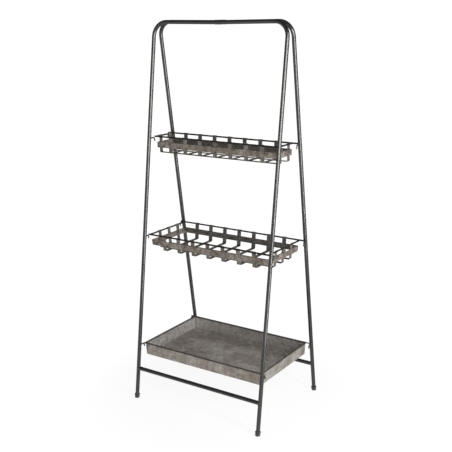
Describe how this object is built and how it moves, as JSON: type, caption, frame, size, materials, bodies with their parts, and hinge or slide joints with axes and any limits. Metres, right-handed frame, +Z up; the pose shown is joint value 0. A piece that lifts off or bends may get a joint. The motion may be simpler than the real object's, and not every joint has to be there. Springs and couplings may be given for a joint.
{
  "type": "folding plant stand",
  "caption": "Folding A-frame plant stand of bent steel tube with a sheet-metal tray and open strap baskets hung between its legs.",
  "frame": {"origin": "on the floor, midway between the four feet of the open stand", "axes": "+X right along the top bars, +Y to the rear frame, +Z up"},
  "size_m": [0.5662, 0.434, 1.3995],
  "materials": {
    "frame_tube": "dark lacquered bare steel",
    "rivet": "dark",
    "foot_cap": "dark grey moulded",
    "tray_sheet": "aged galvanised sheet with spangle",
    "rim_wire": "blackened wire",
    "strap": "aged galvanised strap with spangle"
  },
  "bodies": {
    "rear_frame": {"rear_left_tube": "frame_tube", "rear_right_tube": "frame_tube", "rear_bar_ferrule": "frame_tube", "rear_crossbar": "frame_tube", "rear_shelf_hooks": "frame_tube", "rear_foot_caps": "foot_cap", "hinge_clip": "frame_tube", "hinge_rivet": "rivet"},
    "front_frame": {"front_left_tube": "frame_tube", "front_right_tube": "frame_tube", "front_bar_ferrule": "frame_tube", "front_crossbar": "frame_tube", "front_shelf_hooks": "frame_tube", "front_foot_caps": "foot_cap"},
    "tray": {"tray_pan": "tray_sheet", "tray_front_wire": "rim_wire", "tray_rear_wire": "rim_wire", "tray_end_wires": "rim_wire"},
    "middle_basket": {"middle_front_rod": "rim_wire", "middle_rear_rod": "rim_wire", "middle_end_rods": "rim_wire", "middle_cross_straps": "strap", "middle_long_straps": "strap", "middle_band": "strap"},
    "top_basket": {"top_front_rod": "rim_wire", "top_rear_rod": "rim_wire", "top_end_rods": "rim_wire", "top_cross_straps": "strap", "top_long_straps": "strap", "top_band": "strap"}
  },
  "joints": [
    {"name": "frame_fold", "type": "hinge", "parent": "rear_frame", "child": "front_frame", "pos_m": [0, -0.014, 1.39035], "axis": [1, 0, 0], "range_deg": [0, 11.6]},
    {"name": "tray_swing", "type": "hinge", "parent": "rear_frame", "child": "tray", "pos_m": [0, 0.162, 0.21], "axis": [-1, 0, 0], "range_deg": [0, 82]},
    {"name": "middle_swing", "type": "hinge", "parent": "rear_frame", "child": "middle_basket", "pos_m": [0, 0.109, 0.626], "axis": [-1, 0, 0], "range_deg": [0, 82]},
    {"name": "top_swing", "type": "hinge", "parent": "rear_frame", "child": "top_basket", "pos_m": [0, 0.0505, 0.986], "axis": [-1, 0, 0], "range_deg": [0, 82]}
  ],
  "couplings": [
    {"joint": "tray_swing", "follows": "frame_fold", "ratio": 6.9},
    {"joint": "middle_swing", "follows": "frame_fold", "ratio": 6.9},
    {"joint": "top_swing", "follows": "frame_fold", "ratio": 6.9}
  ]
}
